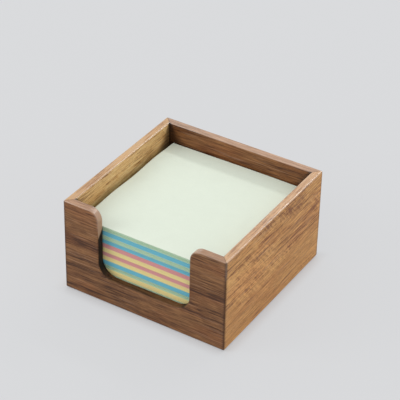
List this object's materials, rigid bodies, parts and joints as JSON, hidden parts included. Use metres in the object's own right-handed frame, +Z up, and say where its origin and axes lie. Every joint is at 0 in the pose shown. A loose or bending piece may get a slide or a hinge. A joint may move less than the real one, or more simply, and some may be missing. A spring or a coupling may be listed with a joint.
{
  "type": "memo pad holder",
  "caption": "Open-topped wooden holder for a square block of loose memo paper, with mitred boards, a grooved-in floor and a rounded finger notch in the front.",
  "frame": {"origin": "middle of the footprint, at the height of the surface that the feet stand on", "axes": "+Z up, the front board with its finger notch faces -Y, +X to the right as seen from the front"},
  "size_m": [0.102, 0.102, 0.058],
  "materials": {
    "walnut": "oiled, satin, straight grain along each board",
    "floor_veneer": "plain sliced veneer on thin board",
    "foot_rubber": "matt, soft",
    "paper_green": "uncoated memo paper, pale mint",
    "paper_blue": "uncoated memo paper, sky blue",
    "paper_pink": "uncoated memo paper, rose pink",
    "paper_yellow": "uncoated memo paper, light yellow"
  },
  "bodies": {
    "tray": {"front_board": "walnut", "right_board": "walnut", "back_board": "walnut", "left_board": "walnut", "floor_panel": "floor_veneer", "foot_front_left": "foot_rubber", "foot_back_left": "foot_rubber", "foot_front_right": "foot_rubber", "foot_back_right": "foot_rubber"},
    "memo_pack_01": {"memo_pack_01": "paper_yellow"},
    "memo_pack_02": {"memo_pack_02": "paper_pink"},
    "memo_pack_03": {"memo_pack_03": "paper_blue"},
    "memo_pack_04": {"memo_pack_04": "paper_green"},
    "memo_pack_05": {"memo_pack_05": "paper_yellow"},
    "memo_pack_06": {"memo_pack_06": "paper_green"},
    "memo_pack_07": {"memo_pack_07": "paper_blue"},
    "memo_pack_08": {"memo_pack_08": "paper_yellow"},
    "memo_pack_09": {"memo_pack_09": "paper_pink"},
    "memo_pack_10": {"memo_pack_10": "paper_yellow"},
    "memo_pack_11": {"memo_pack_11": "paper_pink"},
    "memo_pack_12": {"memo_pack_12": "paper_blue"},
    "memo_pack_13": {"memo_pack_13": "paper_green"},
    "memo_pack_14": {"memo_pack_14": "paper_blue"},
    "memo_pack_15": {"memo_pack_15": "paper_green"}
  },
  "joints": [
    {"name": "memo_pack_01_lift", "type": "slide", "parent": "tray", "child": "memo_pack_01", "axis": [0, 0, 1], "range_m": [0, 0.0622]},
    {"name": "memo_pack_02_lift", "type": "slide", "parent": "memo_pack_01", "child": "memo_pack_02", "axis": [0, 0, 1], "range_m": [0, 0.0595]},
    {"name": "memo_pack_03_lift", "type": "slide", "parent": "memo_pack_02", "child": "memo_pack_03", "axis": [0, 0, 1], "range_m": [0, 0.0568]},
    {"name": "memo_pack_04_lift", "type": "slide", "parent": "memo_pack_03", "child": "memo_pack_04", "axis": [0, 0, 1], "range_m": [0, 0.0541]},
    {"name": "memo_pack_05_lift", "type": "slide", "parent": "memo_pack_04", "child": "memo_pack_05", "axis": [0, 0, 1], "range_m": [0, 0.0514]},
    {"name": "memo_pack_06_lift", "type": "slide", "parent": "memo_pack_05", "child": "memo_pack_06", "axis": [0, 0, 1], "range_m": [0, 0.0487]},
    {"name": "memo_pack_07_lift", "type": "slide", "parent": "memo_pack_06", "child": "memo_pack_07", "axis": [0, 0, 1], "range_m": [0, 0.046]},
    {"name": "memo_pack_08_lift", "type": "slide", "parent": "memo_pack_07", "child": "memo_pack_08", "axis": [0, 0, 1], "range_m": [0, 0.0433]},
    {"name": "memo_pack_09_lift", "type": "slide", "parent": "memo_pack_08", "child": "memo_pack_09", "axis": [0, 0, 1], "range_m": [0, 0.0406]},
    {"name": "memo_pack_10_lift", "type": "slide", "parent": "memo_pack_09", "child": "memo_pack_10", "axis": [0, 0, 1], "range_m": [0, 0.0379]},
    {"name": "memo_pack_11_lift", "type": "slide", "parent": "memo_pack_10", "child": "memo_pack_11", "axis": [0, 0, 1], "range_m": [0, 0.0352]},
    {"name": "memo_pack_12_lift", "type": "slide", "parent": "memo_pack_11", "child": "memo_pack_12", "axis": [0, 0, 1], "range_m": [0, 0.0325]},
    {"name": "memo_pack_13_lift", "type": "slide", "parent": "memo_pack_12", "child": "memo_pack_13", "axis": [0, 0, 1], "range_m": [0, 0.0298]},
    {"name": "memo_pack_14_lift", "type": "slide", "parent": "memo_pack_13", "child": "memo_pack_14", "axis": [0, 0, 1], "range_m": [0, 0.0271]},
    {"name": "memo_pack_15_lift", "type": "slide", "parent": "memo_pack_14", "child": "memo_pack_15", "axis": [0, 0, 1], "range_m": [0, 0.0244]}
  ]
}
